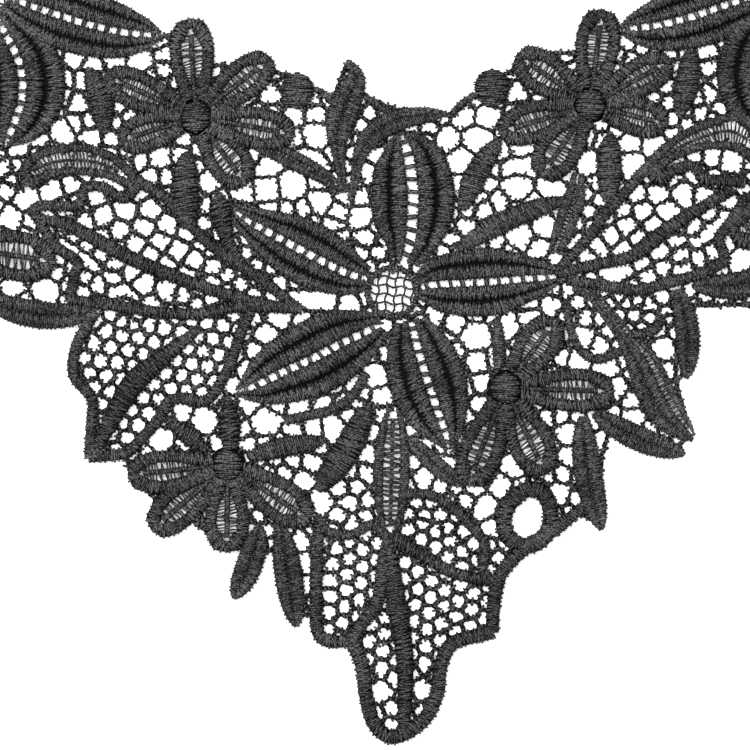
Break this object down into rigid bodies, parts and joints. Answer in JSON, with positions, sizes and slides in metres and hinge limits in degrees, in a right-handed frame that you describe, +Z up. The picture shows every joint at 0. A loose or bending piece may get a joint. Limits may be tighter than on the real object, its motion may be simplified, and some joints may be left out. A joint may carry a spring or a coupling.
{
  "type": "lace collar",
  "caption": "Flat black guipure lace collar with large petalled flowers, small flowers, leaves and corded outlines on a net ground, with a curved neck opening and a pointed front.",
  "frame": {"origin": "middle of the collar's box, on its underside", "axes": "+X to the wearer's left, +Y from the pointed front towards the neck and shoulders, +Z up out of the lace's right side"},
  "size_m": [0.2824, 0.2974, 0.0026],
  "materials": {
    "ground_thread": "matte polyester thread, twisted bars and net",
    "cord_thread": "padded satin stitch over cord, soft sheen",
    "petal_thread": "padded satin stitch, soft sheen along the thread",
    "flower_thread": "satin stitch rims with open thread fillings",
    "leaf_thread": "satin stitch, soft sheen along the thread"
  },
  "bodies": {
    "root": {"arm_petal_high_left": "petal_thread", "arm_petal_high_right": "petal_thread", "arm_petal_inner_left": "petal_thread", "arm_petal_inner_right": "petal_thread", "arm_petal_low_left": "petal_thread", "arm_petal_low_right": "petal_thread", "arm_petal_neck_left": "petal_thread", "arm_petal_neck_right": "petal_thread", "arm_petal_outer_left": "petal_thread", "arm_petal_outer_right": "petal_thread", "cords_leaf_left": "cord_thread", "cords_point": "cord_thread", "cords_wing_left": "cord_thread", "cords_wing_right": "cord_thread", "dot_left": "leaf_thread", "dot_right": "leaf_thread", "eyelet_ring": "cord_thread", "flower_edge_left": "flower_thread", "flower_edge_right": "flower_thread", "flower_front_left": "flower_thread", "flower_front_right": "flower_thread", "flower_neck_left": "flower_thread", "flower_neck_right": "flower_thread", "flower_shoulder_left": "flower_thread", "flower_shoulder_right": "flower_thread", "ground_arm_left": "ground_thread", "ground_arm_right": "ground_thread", "ground_front": "ground_thread", "ground_leaf_left": "ground_thread", "ground_leaf_right": "ground_thread", "ground_point": "ground_thread", "ground_wing_left": "ground_thread", "ground_wing_right": "ground_thread", "heart_front": "petal_thread", "leaf_arched": "leaf_thread", "leaf_edge_left": "leaf_thread", "leaf_edge_right": "leaf_thread", "leaf_front_low": "leaf_thread", "leaf_low": "leaf_thread", "leaf_low_left": "leaf_thread", "leaf_neck": "leaf_thread", "leaf_neck_left": "leaf_thread", "leaf_neck_right": "leaf_thread", "leaf_point": "leaf_thread", "leaf_right_edge": "leaf_thread", "leaf_right_large": "leaf_thread", "leaf_right_low": "leaf_thread", "leaf_right_out": "leaf_thread", "leaf_right_upper": "leaf_thread", "leaf_shoulder_left": "leaf_thread", "leaf_shoulder_right": "leaf_thread", "leaf_wing_high_left": "leaf_thread", "leaf_wing_high_right": "leaf_thread", "leaf_wing_low_left": "leaf_thread", "leaf_wing_low_right": "leaf_thread", "petal_down": "petal_thread", "petal_high_left": "petal_thread", "petal_low_left": "petal_thread", "petal_right": "petal_thread", "petal_up": "petal_thread"}
  },
  "joints": []
}
